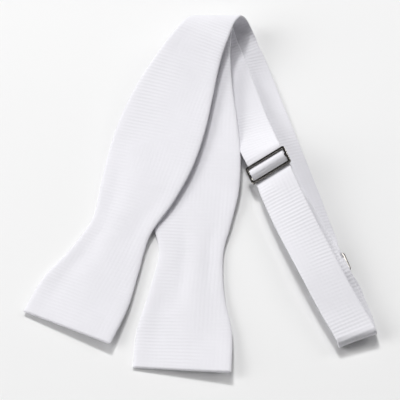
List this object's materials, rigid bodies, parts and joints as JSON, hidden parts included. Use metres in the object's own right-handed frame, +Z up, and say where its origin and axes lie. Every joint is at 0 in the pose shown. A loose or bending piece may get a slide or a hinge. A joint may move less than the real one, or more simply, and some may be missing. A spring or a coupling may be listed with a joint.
{
  "type": "self-tie bow tie",
  "caption": "Untied self-tie bow tie lying folded: flared blades on narrow adjustable neck bands with metal slides.",
  "frame": {"origin": "middle of the base, on the table that the tie lies on", "axes": "+Z up from the table, +Y from the blade ends towards the folded top, +X towards the side where the neck bands end"},
  "size_m": [0.2042, 0.258, 0.0239],
  "materials": {
    "white_pique": "matt cotton pique, pressed",
    "polished_nickel": "polished nickel plate"
  },
  "bodies": {
    "root": {"bow_half_upper": "white_pique", "bow_half_lower": "white_pique", "slide_adjuster_upper": "polished_nickel", "slide_adjuster_lower": "polished_nickel"}
  },
  "joints": []
}
